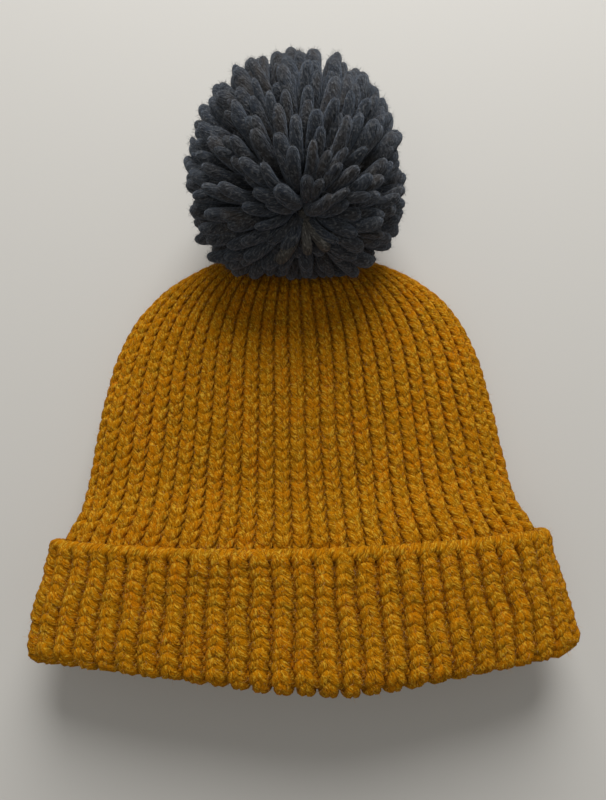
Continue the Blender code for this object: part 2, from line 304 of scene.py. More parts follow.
def tube_fabric():
    """The middle surface of the crown's wall, from just inside the mouth to the gathered hole."""
    angles = underside_first(FINE_ANGLES)
    dome = DOME_LENGTH * np.sin(np.linspace(0.0, math.pi / 2, DOME_STEPS)) ** DOME_CROWDING
    stations = np.concatenate([np.linspace(TUBE_FIRST_STATION, DOME_START, BODY_STEPS)[:-1],
                               DOME_START + dome * DOME_SHARE_USED])
    lines = [evenly_round(tube_points(station, angles, -WALL / 2, -WALL / 2), GRID_COLUMNS)
             for station in stations]
    around = underside_first(GRID_COLUMNS)
    hole = np.stack([(HOLE_HALF_WIDTH + YARN_RADIUS) * np.cos(around),
                     np.full_like(around, MOUTH_Y + HAT_LENGTH - YARN_RADIUS),
                     PIVOT.z + (HOLE_HALF_HEIGHT + YARN_RADIUS) * np.sin(around)], axis=1)
    lines.append(hole)
    return Fabric(evenly_along(np.array(lines), TUBE_LINES), TUBE_ROWS)


def cuff_fabric():
    """The middle surface of the folded-back band, from its top edge round the lip."""
    path = [(station, FACE_DISTANCE)
            for station in np.linspace(CUFF_HEIGHT - YARN_RADIUS, LIP_STATION, BAND_STEPS)]
    path += [(LIP_STATION - LIP_RADIUS * math.sin(turn),
              (FACE_DISTANCE + INNER_DISTANCE) / 2 + LIP_RADIUS * math.cos(turn))
             for turn in np.linspace(0.0, math.pi, LIP_STEPS)[1:]]
    angles = underside_first(FINE_ANGLES)
    lines = []
    for station, outward in path:
        flare = CUFF_FLARE * (1 - station / CUFF_HEIGHT)
        flared = flare * float(smooth_step((outward + WALL) / KNIT_LAYER))
        lines.append(evenly_round(tube_points(np.float64(station), angles, outward + flared,
                                              outward), GRID_COLUMNS))
    grid = evenly_along(np.array(lines), CUFF_LINES)
    return Fabric(grid[:, ::-1], CUFF_ROWS)


# ---------------------------------------------------------------- yarn as a mesh

def catmull_rom(points, per_span):
    """A smooth curve through points, with per_span steps from each point to the next."""
    padded = np.vstack([2 * points[0] - points[1], points, 2 * points[-1] - points[-2]])
    curve = []
    for first in range(len(points) - 1):
        a, b, c, d = padded[first:first + 4]
        for t in np.arange(per_span) / per_span:
            curve.append(0.5 * (2 * b + (c - a) * t + (2 * a - 5 * b + 4 * c - d) * t * t
                                + (3 * b - a - 3 * c + d) * t ** 3))
    curve.append(points[-1])
    return np.array(curve)


def evenly_spaced(points, count):
    steps = np.linalg.norm(np.diff(points, axis=0), axis=1)
    along = np.concatenate([[0.0], np.cumsum(steps)])
    wanted = np.linspace(0.0, along[-1], count)
    return np.stack([np.interp(wanted, along, points[:, axis]) for axis in range(3)], axis=1)


def loop_shape(rings, side):
    """One whole loop as (across, along, depth), without its last point; side is 1 or -1."""
    half = np.array(HALF_LOOP)
    other = half[::-1][1:] * (-1, 1, 1)
    whole = catmull_rom(np.vstack([half, other]), LOOP_STEPS)
    whole = whole * (1, 1, side)
    return evenly_spaced(whole, rings + 1)[:-1]


def rib_row():
    """The path of one row's yarn through all the ribs: a loop on the face, then one behind."""
    face = loop_shape(KNIT_RINGS, 1)
    behind = loop_shape(PURL_RINGS, -1) + (0.5, 0, 0)
    face[:, 2] = CROSSING_DEPTH + (1 - CROSSING_DEPTH) * face[:, 2]
    behind[:, 2] = CROSSING_DEPTH + 0.5 * np.minimum(behind[:, 2], 0.0)
    pair = np.vstack([face, behind])
    return np.vstack([pair + (rib, 0, 0) for rib in range(RIBS)])


def ripples(rng, rib, row, rows, count, most_round, most_along):
    """Soft noise from -1 to 1 over a fabric, which meets itself round the tube."""
    total = np.zeros(np.broadcast(rib, row).shape)
    for _ in range(count):
        round_waves = rng.integers(-most_round, most_round + 1)
        along_waves = rng.uniform(-most_along, most_along)
        phase = rng.uniform(0, 2 * math.pi)
        total += np.cos(2 * math.pi * (round_waves * rib / RIBS + along_waves * row / rows) + phase)
    return total / math.sqrt(count)


def turned_frames(paths, closed):
    """Two directions square to each path at each point, which don't spin about it.

    paths is (number of paths, points, 3)."""
    if closed:
        tangent = np.roll(paths, -1, axis=1) - np.roll(paths, 1, axis=1)
    else:
        tangent = np.gradient(paths, axis=1)
    tangent /= np.maximum(np.linalg.norm(tangent, axis=2, keepdims=True), 1e-12)
    side = np.empty_like(tangent)
    start = np.tile(np.array([0.0, 0.0, 1.0]), (len(paths), 1))
    flat = np.abs(tangent[:, 0, 2]) > 0.9
    start[flat] = (1.0, 0.0, 0.0)
    current = start
    for step in range(paths.shape[1]):
        along = tangent[:, step]
        current = current - along * np.sum(current * along, axis=1, keepdims=True)
        current = current / np.maximum(np.linalg.norm(current, axis=1, keepdims=True), 1e-12)
        side[:, step] = current
    up = np.cross(tangent, side)
    if closed:
        carried = side[:, -1] - tangent[:, 0] * np.sum(side[:, -1] * tangent[:, 0], axis=1,
                                                       keepdims=True)
        miss = np.arctan2(np.sum(carried * up[:, 0], axis=1), np.sum(carried * side[:, 0], axis=1))
        turn = -miss[:, None] * np.linspace(0, 1, paths.shape[1])[None]
        spun = side * np.cos(turn)[..., None] + up * np.sin(turn)[..., None]
        side, up = spun, np.cross(tangent, spun)
    return tangent, side, up


def yarn_skins(paths, radii, sides, closed, twist=0.0):
    """Ring points round each path, and the yarn's own coordinates at each of them."""
    _, side, up = turned_frames(paths, closed)
    turns = 2 * math.pi * np.arange(sides) / sides
    outward = (side[:, :, None] * np.cos(turns)[None, None, :, None]
               + up[:, :, None] * np.sin(turns)[None, None, :, None])
    points = paths[:, :, None] + outward * radii[..., None, None]
    steps = np.linalg.norm(np.diff(paths, axis=1), axis=2)
    along = np.concatenate([np.zeros((len(paths), 1)), np.cumsum(steps, axis=1)], axis=1)
    angle = turns[None, None] + twist * along[..., None]
    grain = np.stack([np.broadcast_to(along[..., None], angle.shape),
                      radii[..., None] * np.cos(angle),
                      radii[..., None] * np.sin(angle)], axis=-1)
    return points, outward, grain


def mesh_from_arrays(name, points, quads, triangles=None):
    """A mesh object from arrays of points and of four- and three-sided faces."""
    mesh = bpy.data.meshes.new(name)
    corners = quads.reshape(-1)
    sizes = np.full(len(quads), 4)
    if triangles is not None:
        corners = np.concatenate([corners, triangles.reshape(-1)])
        sizes = np.concatenate([sizes, np.full(len(triangles), 3)])
    mesh.vertices.add(len(points))
    mesh.vertices.foreach_set("co", points.astype(np.float32).reshape(-1))
    mesh.loops.add(len(corners))
    mesh.loops.foreach_set("vertex_index", corners.astype(np.int32))
    mesh.polygons.add(len(sizes))
    starts = np.concatenate([[0], np.cumsum(sizes)[:-1]])
    mesh.polygons.foreach_set("loop_start", starts.astype(np.int32))
    mesh.update(calc_edges=True)
    mesh.shade_smooth()
    piece = bpy.data.objects.new(name, mesh)
    bpy.context.scene.collection.objects.link(piece)
    return piece


def give_attribute(piece, name, values):
    """A value at each point: one number, or three."""
    kind = "FLOAT_VECTOR" if values.ndim == 2 else "FLOAT"
    key = "vector" if values.ndim == 2 else "value"
    attribute = piece.data.attributes.new(name, kind, "POINT")
    attribute.data.foreach_set(key, values.astype(np.float32).reshape(-1))


def strip_faces(paths, rings, sides, closed):
    """The quads of each path's tube, for points laid out as path, ring, side."""
    spans = rings if closed else rings - 1
    path, ring, side = np.meshgrid(np.arange(paths), np.arange(spans), np.arange(sides),
                                   indexing="ij")
    next_ring = (ring + 1) % rings
    next_side = (side + 1) % sides
    base = path * rings * sides
    quads = np.stack([base + ring * sides + side, base + ring * sides + next_side,
                      base + next_ring * sides + next_side, base + next_ring * sides + side],
                     axis=-1)
    return quads.reshape(-1, 4), (path.reshape(-1), ring.reshape(-1), side.reshape(-1))


def give_bake_map(piece, places, paths, spans, sides):
    """A flat map with no overlaps: each path is a row of cells, one cell for each face."""
    path, ring, side = places
    stacks = max(1, int(math.sqrt(paths * sides / spans)))
    lines = math.ceil(paths / stacks)
    left = ((path // lines) + ring / spans) / stacks
    right = ((path // lines) + (ring + 1) / spans) / stacks
    low = ((path % lines) + side / sides) / lines
    high = ((path % lines) + (side + 1) / sides) / lines
    corners = np.stack([np.stack([left, low], -1), np.stack([left, high], -1),
                        np.stack([right, high], -1), np.stack([right, low], -1)], axis=1)
    corners = corners.reshape(-1, 2)
    whole = np.zeros((len(piece.data.loops), 2))
    whole[:len(corners)] = corners
    layer = piece.data.uv_layers.new(name="OFBake")
    layer.data.foreach_set("uv", whole.astype(np.float32).reshape(-1))


def rest_on_floor(points):
    """Soft pieces press flat where they meet the surface under the hat."""
    points[..., 2] = np.maximum(points[..., 2], FLOOR_GAP)
    return points


def end_caps(count, rings, sides):
    """Triangles that close both ends of each tube, to tip points that follow all ring points."""
    side = np.arange(sides)
    after = (side + 1) % sides
    caps = []
    for path in range(count):
        base = path * rings * sides
        last = base + (rings - 1) * sides
        tip = count * rings * sides + 2 * path
        caps.append(np.stack([np.full(sides, tip), base + after, base + side], axis=1))
        caps.append(np.stack([np.full(sides, tip + 1), last + side, last + after], axis=1))
    return np.vstack(caps)


def yarn_piece(name, paths, radii, closed, sides, twist, tone, material, body):
    """A piece of yarn tubes along paths; also gives its surface points and their outward ways."""
    points, outward, grain = yarn_skins(paths, radii, sides, closed, twist)
    count, rings = paths.shape[:2]
    offset = np.random.default_rng(count * 7 + rings).uniform(0, 5, count)
    grain[..., 0] += offset[:, None, None]
    points = rest_on_floor(points)
    quads, places = strip_faces(count, rings, sides, closed)
    triangles = None
    flat = points.reshape(-1, 3)
    grain_flat = grain.reshape(-1, 3)
    tone_flat = np.broadcast_to(tone[..., None], points.shape[:3]).reshape(-1)
    if not closed:
        triangles = end_caps(count, rings, sides)
        tips = paths[:, (0, -1)].reshape(-1, 3)
        flat = np.vstack([flat, rest_on_floor(tips.copy())])
        grain_flat = np.vstack([grain_flat, grain[:, (0, -1), 0].reshape(-1, 3)])
        tone_flat = np.concatenate([tone_flat, tone[:, (0, -1)].reshape(-1)])
    piece = mesh_from_arrays(name, flat, quads, triangles)
    give_attribute(piece, "yarn_grain", grain_flat)
    give_attribute(piece, "tone", tone_flat)
    give_bake_map(piece, places, count, rings if closed else rings - 1, sides)
    piece.data.materials.append(material)
    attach(piece, body)
    return piece, points, outward


# ---------------------------------------------------------------- knitted fabric

class Hairs:
    """Roots and directions of stray fibres, gathered as the yarn is made."""

    def __init__(self):
        self.roots = []
        self.directions = []

    def gather(self, rng, points, outward, count, keep):
        picks = rng.integers(0, points.shape[0] * points.shape[1] * points.shape[2], count * 3)
        flat = points.reshape(-1, 3)[picks]
        out = outward.reshape(-1, 3)[picks]
        good = keep(flat, out)
        self.roots.append(flat[good][:count])
        self.directions.append(out[good][:count])


def knit_rows(fabric, rng):
    """The yarn paths, yarn radii and tones of a fabric's rows."""
    shape = rib_row()
    rib = shape[None, :, 0]
    total = fabric.rows
    row = np.arange(total)[:, None] + 0.0 * rib
    sway = RIB_SWAY * ripples(rng, rib, row, total, 8, 10, 3)
    lift = FABRIC_LIFT * ripples(rng, rib, row, total, 8, 7, 3)
    swell = 1 + YARN_SWELL * ripples(rng, rib, row, total, 12, 50, 15)
    loose = 1 + LOOP_LOOSENESS * ripples(rng, rib, row, total, 12, 24, 10)
    drift = ROW_SWAY * ripples(rng, rib, row, total, 10, 30, 12)
    at_row = row + 0.5 + shape[None, :, 1] + drift
    at_rib = rib + sway
    pitch = fabric.read(fabric.pitch, at_row, at_rib)
    share = np.clip(pitch / FULL_PITCH, THINNEST_YARN, THICKEST_YARN)
    depth = shape[None, :, 2] * RIB_DEPTH * share * loose + lift
    paths = (fabric.read(fabric.grid, at_row, at_rib)
             + fabric.read(fabric.normal, at_row, at_rib) * depth[..., None])
    radii = YARN_RADIUS * share * swell
    tone = ripples(rng, rib, row, total, 12, 40, 14)
    return paths, radii, tone


def faces_away(points, outward):
    """Which yarn surface points lie on the hat's outside, clear of what it rests on."""
    from_middle = points - (0.0, 0.0, BODY_THICKNESS / 2)
    away = from_middle[:, 2] * outward[:, 2] + 0.08 * from_middle[:, 0] * outward[:, 0]
    return (away > -0.004) & (points[:, 2] > 0.002)


def knit(name, fabric, body, node, material, rng, hairs, hair_count):
    """All of a fabric's rows, in several pieces that no exporter has to thin out."""
    all_paths, all_radii, all_tones = knit_rows(fabric, rng)
    for number, first in enumerate(range(0, fabric.rows, ROWS_PER_PIECE)):
        rows = slice(first, first + ROWS_PER_PIECE)
        piece, points, outward = yarn_piece(
            f"{name}_rows_{number + 1}", all_paths[rows], all_radii[rows], True, YARN_SIDES,
            YARN_TWIST, all_tones[rows], material, body)
        if number == 0:
            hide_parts(node)
        share = len(points) / fabric.rows
        hairs.gather(rng, points, outward, int(hair_count * share), faces_away)


def cast_on_edge(fabric, material, rng):
    """The cast-on: two strands twisted along the cuff's top edge, one turn to a rib."""
    count = RIBS * CAST_ON_STEPS
    rib = np.arange(count)[None] * RIBS / count + np.zeros((2, 1))
    row = np.full(rib.shape, CAST_ON_ROW)
    middle = fabric.read(fabric.grid, row, rib)
    out = fabric.read(fabric.normal, row, rib)
    along = np.roll(middle, -1, axis=1) - np.roll(middle, 1, axis=1)
    along /= np.linalg.norm(along, axis=2, keepdims=True)
    across = np.cross(along, out)
    turn = 2 * math.pi * rib + np.array([[0.0], [math.pi]])
    turn = turn + CAST_ON_TURN_JITTER * ripples(rng, rib, row, 1, 6, 9, 0)
    reach = CAST_ON_TWIST * np.stack([np.cos(turn), np.sin(turn)], axis=-1)
    paths = middle + across * reach[..., :1] + out * (CAST_ON_LIFT + reach[..., 1:])
    radii = CAST_ON_RADIUS * (1 + YARN_SWELL * ripples(rng, rib, row, 1, 9, 40, 0))
    tone = ripples(rng, rib, row, 1, 9, 40, 0)
    yarn_piece("cuff_cast_on", paths, radii, True, YARN_SIDES, YARN_TWIST, tone, material,
               "cuff")


# ---------------------------------------------------------------- materials

# Each look's dark colour is partly the yarn's own darker fibres and partly painted shade between the
# fibres.
# Each look's pale colour is partly the heather's own pale fibres and partly painted highlight on
# fibres that catch the light.
MUSTARD_LOOK = dict(base=(0.45, 0.165, 0.0010), warm=(0.52, 0.165, 0.0010),
                    cool=(0.24, 0.125, 0.004), pale_fibre_and_highlight=(0.66, 0.37, 0.030),
                    dark_fibre_and_shade=(0.14, 0.045, 0.0005), roughness=0.95, sheen=0.05,
                    sheen_tint=(0.9, 0.55, 0.1), patch_scale=60.0)
CHARCOAL_LOOK = dict(base=(0.034, 0.037, 0.042), warm=(0.050, 0.040, 0.031),
                     cool=(0.022, 0.028, 0.040), pale_fibre_and_highlight=(0.105, 0.105, 0.105),
                     dark_fibre_and_shade=(0.010, 0.010, 0.010), roughness=0.88, sheen=0.28,
                     sheen_tint=(0.6, 0.7, 0.85), patch_scale=50.0)
PALE_CHARCOAL_LOOK = dict(base=(0.066, 0.062, 0.054), warm=(0.076, 0.064, 0.048),
                          cool=(0.050, 0.050, 0.050), pale_fibre_and_highlight=(0.16, 0.15, 0.13),
                          dark_fibre_and_shade=(0.024, 0.022, 0.020), roughness=0.88, sheen=0.1,
                          sheen_tint=(0.7, 0.7, 0.75), patch_scale=50.0)
# A noise texture's stretch: long along the yarn and fine across it
FIBRE_STRETCH = (260, 1500, 1500)
FLECK_STRETCH = (700, 1100, 1100)


def grey(value):
    return (value, value, value)


def node_adder(tree):
    """A function that adds a node and sets its inputs, from plain values or other sockets."""
    def add(kind, inputs=None, **settings):
        node = tree.nodes.new(kind)
        for key, value in settings.items():
            setattr(node, key, value)
        for key, value in (inputs or {}).items():
            socket = node.inputs[key]
            if isinstance(value, bpy.types.NodeSocket):
                tree.links.new(value, socket)
            else:
                socket.default_value = value
        return node
    return add


def ramp(add, factor, stops):
    node = add("ShaderNodeValToRGB", {"Fac": factor})
    band = node.color_ramp
    while len(band.elements) < len(stops):
        band.elements.new(0.5)
    for element, (place, colour) in zip(band.elements, stops):
        element.position = place
        element.color = (*colour, 1.0)
    return node.outputs["Color"]


def mix_colours(add, share, first, second):
    """The first colour, or the second where share is 1; each is a colour or a socket."""
    node = add("ShaderNodeMix", data_type="RGBA")
    tree = node.id_data
    tree.links.new(share, node.inputs[0])
    for index, value in ((6, first), (7, second)):
        if isinstance(value, bpy.types.NodeSocket):
            tree.links.new(value, node.inputs[index])
        else:
            node.inputs[index].default_value = (*value, 1.0)
    return node.outputs[2]


def wool(name, base, warm, cool, pale_fibre_and_highlight, dark_fibre_and_shade, roughness, sheen, sheen_tint, patch_scale,
         along_yarn=True):
    """A heathered woollen yarn: patches, flecks, and fine fibres along the yarn; its dark streaks
    are partly painted shade and its pale flecks partly painted highlight.

    A node of the frame has no grain of its own, so its fibres run along the hat instead.
    """
    material = bpy.data.materials.new(name)
    material.use_nodes = True
    tree = material.node_tree
    shader = tree.nodes["Principled BSDF"]
    add = node_adder(tree)
    place = add("ShaderNodeTexCoord").outputs["Object"]
    grain = place
    if along_yarn:
        grain = add("ShaderNodeAttribute", attribute_name="yarn_grain").outputs["Vector"]
    tone = add("ShaderNodeAttribute", attribute_name="tone").outputs["Fac"]
    stretched = add("ShaderNodeMapping", {"Vector": grain, "Scale": FIBRE_STRETCH})
    fibres = add("ShaderNodeTexNoise", {"Vector": stretched.outputs["Vector"], "Scale": 1.0,
                                        "Detail": 3.0, "Roughness": 0.65})
    fleck_place = add("ShaderNodeMapping", {"Vector": grain, "Scale": FLECK_STRETCH})
    flecks = add("ShaderNodeTexNoise", {"Vector": fleck_place.outputs["Vector"], "Scale": 1.0,
                                        "Detail": 2.0, "Roughness": 0.6})
    patches = add("ShaderNodeTexNoise", {"Vector": place, "Scale": patch_scale, "Detail": 3.0,
                                         "Roughness": 0.6})
    blotches = add("ShaderNodeTexNoise", {"Vector": place, "Scale": patch_scale * 4.5,
                                          "Detail": 2.0, "Roughness": 0.6})
    shift = add("ShaderNodeMath", {0: tone, 1: 0.06}, operation="MULTIPLY")
    patch_value = add("ShaderNodeMath", {0: patches.outputs["Fac"], 1: shift.outputs[0]},
                      operation="ADD")
    warm_share = ramp(add, patch_value.outputs[0], ((0.44, grey(0)), (0.68, grey(0.8))))
    cool_share = ramp(add, blotches.outputs["Fac"], ((0.50, grey(0)), (0.70, grey(0.6))))
    colour = mix_colours(add, warm_share, base, warm)
    colour = mix_colours(add, cool_share, colour, cool)
    # Dark streaks along the yarn: partly darker fibres, partly painted shade, laid where the bump
    # below is low.
    dark_fibre_and_shade_share = ramp(add, fibres.outputs["Fac"], ((0.36, grey(0.85)), (0.52, grey(0))))
    colour = mix_colours(add, dark_fibre_and_shade_share, colour, dark_fibre_and_shade)
    # Pale flecks: partly pale fibres of the heather, partly painted highlight, laid where the bump
    # stands high.
    pale_fibre_and_highlight_share = ramp(add, flecks.outputs["Fac"], ((0.52, grey(0)), (0.66, grey(0.8))))
    colour = mix_colours(add, pale_fibre_and_highlight_share, colour, pale_fibre_and_highlight)
    height = add("ShaderNodeMath", {0: fibres.outputs["Fac"], 1: flecks.outputs["Fac"]},
                 operation="ADD")
    bump = add("ShaderNodeBump", {"Height": height.outputs[0], "Strength": 0.9,
                                  "Distance": 0.0009})
    tree.links.new(colour, shader.inputs["Base Color"])
    tree.links.new(bump.outputs["Normal"], shader.inputs["Normal"])
    shader.inputs["Roughness"].default_value = roughness
    shader.inputs["Specular IOR Level"].default_value = 0.05
    shader.inputs["Sheen Weight"].default_value = sheen
    shader.inputs["Sheen Roughness"].default_value = 0.45
    shader.inputs["Sheen Tint"].default_value = (*sheen_tint, 1.0)
    return material


def fibre_material(name, colour, other):
    """The stray fibres' own wool, which varies between two colours from hair to hair."""
    material = bpy.data.materials.new(name)
    material.use_nodes = True
    tree = material.node_tree
    shader = tree.nodes["Principled BSDF"]
    add = node_adder(tree)
    place = add("ShaderNodeTexCoord").outputs["Object"]
    patches = add("ShaderNodeTexNoise", {"Vector": place, "Scale": 900.0, "Detail": 1.0})
    share = ramp(add, patches.outputs["Fac"], ((0.42, grey(0)), (0.58, grey(1))))
    tree.links.new(mix_colours(add, share, colour, other), shader.inputs["Base Color"])
    shader.inputs["Roughness"].default_value = 0.8
    shader.inputs["Sheen Weight"].default_value = 0.3
    return material


# ---------------------------------------------------------------- stray fibres

def hair_piece(name, roots, directions, rng, longest, material, body):
    """Closed, bent three-sided spikes, each from the yarn's surface outward."""
    count = len(roots)
    lean = directions + HAIR_SPREAD * rng.normal(0, 1, (count, 3))
    lean /= np.linalg.norm(lean, axis=1, keepdims=True)
    bend = np.cross(lean, rng.normal(0, 1, (count, 3)))
    bend /= np.maximum(np.linalg.norm(bend, axis=1, keepdims=True), 1e-9)
    length = rng.uniform(SHORTEST_HAIR, longest, count)[:, None]
    curl = rng.uniform(-HAIR_CURL, HAIR_CURL, count)[:, None] * length
    middles = [roots - directions * HAIR_ROOT_DEPTH + lean * length * share
               + bend * curl * share * share for share in HAIR_RINGS]
    tips = roots + lean * length + bend * curl
    other = np.cross(lean, bend)
    rings = []
    for share, middle in zip(HAIR_RINGS, middles):
        thick = HAIR_RADIUS * (1 - 0.5 * share)
        for corner in range(3):
            turn = 2 * math.pi * corner / 3
            rings.append(middle + thick * (bend * math.cos(turn) + other * math.sin(turn)))
    points = np.stack(rings + [tips], axis=1)
    per_hair = points.shape[1]
    points = rest_on_floor(points).reshape(-1, 3)
    quad_pattern = []
    for ring in range(len(HAIR_RINGS) - 1):
        for corner in range(3):
            after = (corner + 1) % 3
            quad_pattern.append((ring * 3 + corner, ring * 3 + after,
                                 ring * 3 + 3 + after, ring * 3 + 3 + corner))
    last = (len(HAIR_RINGS) - 1) * 3
    tip = per_hair - 1
    triangle_pattern = [(0, 2, 1)]
    triangle_pattern += [(last + corner, last + (corner + 1) % 3, tip) for corner in range(3)]
    base = np.arange(count)[:, None, None] * per_hair
    quads = (base + np.array(quad_pattern)[None]).reshape(-1, 4)
    triangles = (base + np.array(triangle_pattern)[None]).reshape(-1, 3)
    piece = mesh_from_arrays(name, points, quads, triangles)
    piece.data.materials.append(material)
    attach(piece, body)
    return piece


def all_hairs(name, hairs, rng, longest, material, body):
    roots = np.vstack(hairs.roots)
    directions = np.vstack(hairs.directions)
    order = rng.permutation(len(roots))
    roots, directions = roots[order], directions[order]
    for number, first in enumerate(range(0, len(roots), HAIRS_PER_PIECE)):
        chosen = slice(first, first + HAIRS_PER_PIECE)
        hair_piece(f"{name}_{number + 1}", roots[chosen], directions[chosen], rng, longest,
                   material, body)


# ---------------------------------------------------------------- pom pom

def fibonacci_directions(count):
    """Directions spread evenly over a ball."""
    index = np.arange(count) + 0.5
    height = 1 - 2 * index / count
    turn = math.pi * (1 + math.sqrt(5)) * index
    flat = np.sqrt(1 - height * height)
    return np.stack([flat * np.cos(turn), flat * np.sin(turn), height], axis=1)


def strand_places():
    shaft = np.linspace(0, SHAFT_END, SHAFT_RINGS)
    return np.concatenate([shaft, [place for place, _ in CUT_TIP]])


def bezier(points, places):
    """points is (paths, 4, 3)."""
    t = places[None, :, None]
    a, b, c, d = (points[:, index][:, None] for index in range(4))
    return a * (1 - t) ** 3 + 3 * b * t * (1 - t) ** 2 + 3 * c * t * t * (1 - t) + d * t ** 3


def pompom_paths(rng, count):
    """Strands from the binding, each bent away from the dimple, with its tip on the ball."""
    axis = np.array(DIMPLE_AXIS)
    side = np.cross(axis, (0.0, 0.0, 1.0))
    side /= np.linalg.norm(side)
    up = np.cross(side, axis)
    around = fibonacci_directions(count)
    around = around @ np.array([side, up, axis])
    around += rng.normal(0, DIRECTION_JITTER, around.shape)
    around /= np.linalg.norm(around, axis=1, keepdims=True)
    polar = np.arccos(np.clip(around @ axis, -1, 1))
    keep = polar > DIMPLE_OPENING
    around, polar = around[keep], polar[keep]
    flat = around - axis * np.cos(polar)[:, None]
    flat /= np.maximum(np.linalg.norm(flat, axis=1, keepdims=True), 1e-9)
    down = flat * np.cos(polar)[:, None] - axis * np.sin(polar)[:, None]
    shoulder = (2 * np.abs(around[:, 0]) * np.maximum(0.0, -around[:, 1])) ** 2
    reach = BALL_RADIUS * np.minimum(rng.normal(USUAL_REACH, REACH_JITTER, len(around)), 1.0)
    reach = (reach * (1 + SHOULDER_FULLNESS * shoulder))[:, None]
    centre = np.array(STRAND_CENTRE)
    tips = centre + around * reach
    lean = np.radians(np.interp(np.degrees(polar), LEAN_ANGLES, TIP_LEANS))
    lean = lean + rng.normal(0, LEAN_JITTER, len(lean))
    heading = around * np.cos(lean)[:, None] + down * np.sin(lean)[:, None]
    heading += HEADING_JITTER * rng.normal(0, 1, heading.shape)
    heading /= np.linalg.norm(heading, axis=1, keepdims=True)
    root = centre + (axis + around) * ROOT_OFFSET
    near = root + (axis * 0.7 + around) * ROOT_HANDLE
    back = np.interp(np.degrees(polar), HANDLE_ANGLES, TIP_HANDLES)
    controls = np.stack([root, near, tips - heading * back[:, None], tips], axis=1)
    return bezier(controls, strand_places())


def crown_top(points):
    """Height of the hat's top surface under each point."""
    station = np.clip(points[..., 1] - MOUTH_Y, 0.0, HAT_LENGTH)
    wide = np.maximum(half_width(station), 1e-5)
    across = np.clip(np.abs(points[..., 0]) / wide, 0.0, 1.0)
    rise = (1 - across ** CORNER_POWER) ** (1 / CORNER_POWER)
    top = underside(station) + thickness(station) / 2 * (1 + rise)
    return np.where(across < 1, top, 0.0)


def keep_clear(paths, radii):
    """Lift strands off the surface and off the crown, and keep them out of the tip's way."""
    front = paths[..., 1] - PIVOT.y
    floor = np.where(front < 0, crown_top(paths) + CROWN_CLEARANCE, 0.0)
    in_swing = (front >= 0) & (front < TIP_SWING_RADIUS)
    forward = np.clip(front, 0, TIP_SWING_RADIUS)
    round_tip = np.sqrt(TIP_SWING_RADIUS ** 2 - forward ** 2) + PIVOT.z
    narrow = np.abs(paths[..., 0]) < TIP_SWING_HALF_WIDTH
    floor = np.where(in_swing & narrow, round_tip, floor)
    paths[..., 2] = np.maximum(paths[..., 2], floor + radii)
    return paths


def smooth_paths(paths, passes):
    for _ in range(passes):
        middle = (paths[:, :-2] + paths[:, 2:]) / 2
        paths[:, 1:-1] = paths[:, 1:-1] * 0.5 + middle * 0.5
    return paths


def strand_radii(rng, count):
    """Full along the strand, squeezed at the binding and rounded at the cut tip."""
    share = strand_places()[None]
    squeezed = WAIST_SQUEEZE + (1 - WAIST_SQUEEZE) * smooth_step(share / SQUEEZE_RUN)
    cut = np.concatenate([np.ones(SHAFT_RINGS), [thick for _, thick in CUT_TIP]])
    each = rng.normal(1.0, THICKNESS_JITTER, (count, 1)).clip(THINNEST_STRAND, THICKEST_STRAND)
    swell = 1 + STRAND_SWELL * np.sin(SWELL_WAVES * share + rng.uniform(0, 6.3, (count, 1)))
    return STRAND_RADIUS * squeezed * cut * each * swell


def tie_tail_paths():
    """The tie's knob in the dimple, and its loose ends, which lie down over the ball's front."""
    out = DIMPLE_AXIS * BALL_RADIUS
    knob = [STRAND_CENTRE + out * reach for reach in (0.20, 0.45, 0.65, 0.84)]
    tails = [[STRAND_CENTRE + out * 0.35, STRAND_CENTRE + out * 1.0,
              STRAND_CENTRE + (end + DIMPLE_AXIS * 0.5).normalized() * BALL_RADIUS * 1.05,
              STRAND_CENTRE + end * BALL_RADIUS * 1.02] for end in TIE_TAILS]
    return bezier(np.array([knob] + tails), strand_places())


def lay_strands(paths, radii):
    """Keep strands clear of the hat and the surface, and smooth the bends that this makes."""
    for _ in range(2):
        paths = keep_clear(paths, radii)
        paths = smooth_paths(paths, 2)
    return keep_clear(paths, radii)


def shows_outside(points, _outward):
    """Which strand surface points lie near the ball's outside."""
    away = points - np.array(BALL_CENTRE)
    return np.linalg.norm(away, axis=1) > BALL_RADIUS * HAIRY_SHELL


def make_pompom(rng, material, tail_material, hairs):
    paths = pompom_paths(rng, STRANDS)
    radii = strand_radii(rng, len(paths))
    paths = lay_strands(paths, radii)
    tone = np.broadcast_to(rng.normal(0, 1, (len(paths), 1)), radii.shape)
    for number, first in enumerate(range(0, len(paths), STRANDS_PER_PIECE)):
        some = slice(first, first + STRANDS_PER_PIECE)
        piece, points, outward = yarn_piece(
            f"pompom_strands_{number + 1}", paths[some], radii[some], False, STRAND_SIDES,
            STRAND_TWIST, tone[some], material, "pompom")
        if number == 0:
            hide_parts("pompom_yarn")
        hairs.gather(rng, points, outward, POMPOM_HAIRS * len(points) // len(paths), shows_outside)
    tails = tie_tail_paths()
    tail_radii = TAIL_THICKNESS * strand_radii(rng, len(tails))
    yarn_piece("tie_tails", lay_strands(tails, tail_radii), tail_radii, False, STRAND_SIDES,
               STRAND_TWIST, np.zeros_like(tail_radii), tail_material, "pompom")


# ---------------------------------------------------------------- camera, light and floor

VIEW_ELEVATION = math.radians(78.9)
VIEW_ROLL = math.radians(-1.28)
CAMERA_STATION = 0.0717
CAMERA_HEIGHT = 0.325
CAMERA_SIDE = 0.0028
FOCAL_LENGTH = 27.9
LIT_POINT = Vector((0.0, 0.0, 0.02))
FLOOR_SIZE = 30.0


